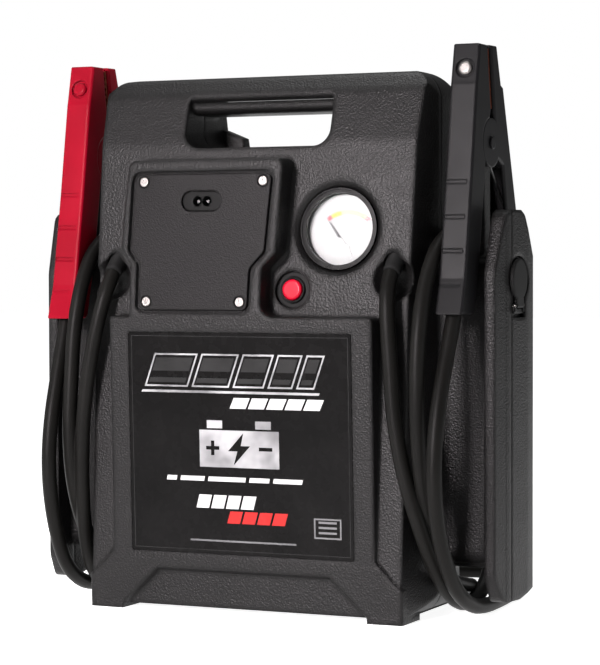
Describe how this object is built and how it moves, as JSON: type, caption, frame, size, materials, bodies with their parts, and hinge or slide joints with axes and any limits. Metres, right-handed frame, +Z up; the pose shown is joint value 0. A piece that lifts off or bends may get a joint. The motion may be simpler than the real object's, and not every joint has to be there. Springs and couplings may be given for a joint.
{
  "type": "jump starter pack",
  "caption": "Portable jump starter pack: two-shell case with grip, charge gauge, test button, 12 V socket, and spring clamps on cables wound on side bobbins.",
  "frame": {"origin": "floor centre under the case, without the cables and clamps", "axes": "+X to the right seen from the front, +Y to the rear, +Z up"},
  "size_m": [0.427, 0.3143, 0.4647],
  "materials": {
    "case_plastic": "fine textured moulding",
    "steel": "zinc plated",
    "spring_steel": "wire drawn",
    "black_plastic": "plain",
    "black_gloss": "polished",
    "lens": "clear",
    "dial": "printed",
    "needle": "painted",
    "red_gloss": "polished",
    "label": "printed film",
    "brass": "turned",
    "board": "lacquered",
    "nickel": "plated",
    "rubber": "moulded",
    "cable_rubber": "smooth jacket",
    "battery_plastic": "moulded",
    "lead": "cast",
    "copper": "stamped copper",
    "red_plastic": "satin moulding",
    "clamp_black": "satin moulding"
  },
  "bodies": {
    "pack": {"accessory_socket": "nickel", "battery": "battery_plastic", "battery_strap": "steel", "battery_terminals": "lead", "button_bushing": "black_plastic", "button_spring": "spring_steel", "charge_inlet": "black_plastic", "charger_board": "board", "charger_cover": "case_plastic", "charger_cover_screws": "steel", "charger_transformer": "black_plastic", "front_shell": "case_plastic", "gauge_bezel": "black_gloss", "gauge_can": "black_plastic", "gauge_dial": "dial", "gauge_lens": "lens", "inlet_pins": "brass", "label_plate": "label", "lead_lugs": "lead", "left_cable": "cable_rubber", "left_cable_gland": "rubber", "left_clamp_front_arm": "red_plastic", "left_clamp_front_bolt": "red_plastic", "left_clamp_front_jaw": "copper", "left_clamp_pin": "steel", "left_clamp_sleeve": "rubber", "left_clamp_spring": "spring_steel", "left_inner_lead": "cable_rubber", "rear_shell": "case_plastic", "right_cable": "cable_rubber", "right_cable_gland": "rubber", "right_clamp_front_arm": "clamp_black", "right_clamp_front_bolt": "steel", "right_clamp_front_jaw": "copper", "right_clamp_pin": "steel", "right_clamp_sleeve": "rubber", "right_clamp_spring": "spring_steel", "right_inner_lead": "cable_rubber", "shell_screws": "steel", "socket_cap_pin": "steel", "socket_contact": "brass", "socket_hinge_base": "steel", "strap_screws": "steel"},
    "test_button": {"test_button": "red_gloss"},
    "gauge_needle": {"gauge_needle": "needle"},
    "socket_cap": {"socket_cap": "rubber"},
    "right_rear_arm": {"right_clamp_rear_arm": "clamp_black", "right_clamp_rear_jaw": "copper", "right_clamp_rear_bolt": "steel"},
    "left_rear_arm": {"left_clamp_rear_arm": "red_plastic", "left_clamp_rear_jaw": "copper", "left_clamp_rear_bolt": "red_plastic"}
  },
  "joints": [
    {"name": "test_button_press", "type": "slide", "parent": "pack", "child": "test_button", "axis": [0, 0.994, -0.1092], "range_m": [0, 0.003], "stiffness_N_per_m": 400, "springref_m": -0.002, "deforming": ["button_spring"]},
    {"name": "gauge_needle_swing", "type": "hinge", "parent": "pack", "child": "gauge_needle", "pos_m": [0.081, -0.03635, 0.30032], "axis": [0, -0.994, 0.1092], "range_deg": [-76, 0], "stiffness_Nm_per_rad": 0.0002, "springref_deg": 22.92},
    {"name": "socket_cap_hinge", "type": "hinge", "parent": "pack", "child": "socket_cap", "pos_m": [0.2116, 0.013, 0.2535], "axis": [0, 1, 0], "range_deg": [0, 110]},
    {"name": "right_clamp_squeeze", "type": "hinge", "parent": "pack", "child": "right_rear_arm", "pos_m": [0.177, 0.012, 0.3855], "axis": [-1, 0, 0], "range_deg": [0, 12], "stiffness_Nm_per_rad": 1, "springref_deg": -17.19, "deforming": ["right_clamp_spring"]},
    {"name": "left_clamp_squeeze", "type": "hinge", "parent": "pack", "child": "left_rear_arm", "pos_m": [-0.177, 0.012, 0.3795], "axis": [-1, 0, 0], "range_deg": [0, 12], "stiffness_Nm_per_rad": 1, "springref_deg": -17.19, "deforming": ["left_clamp_spring"]}
  ]
}
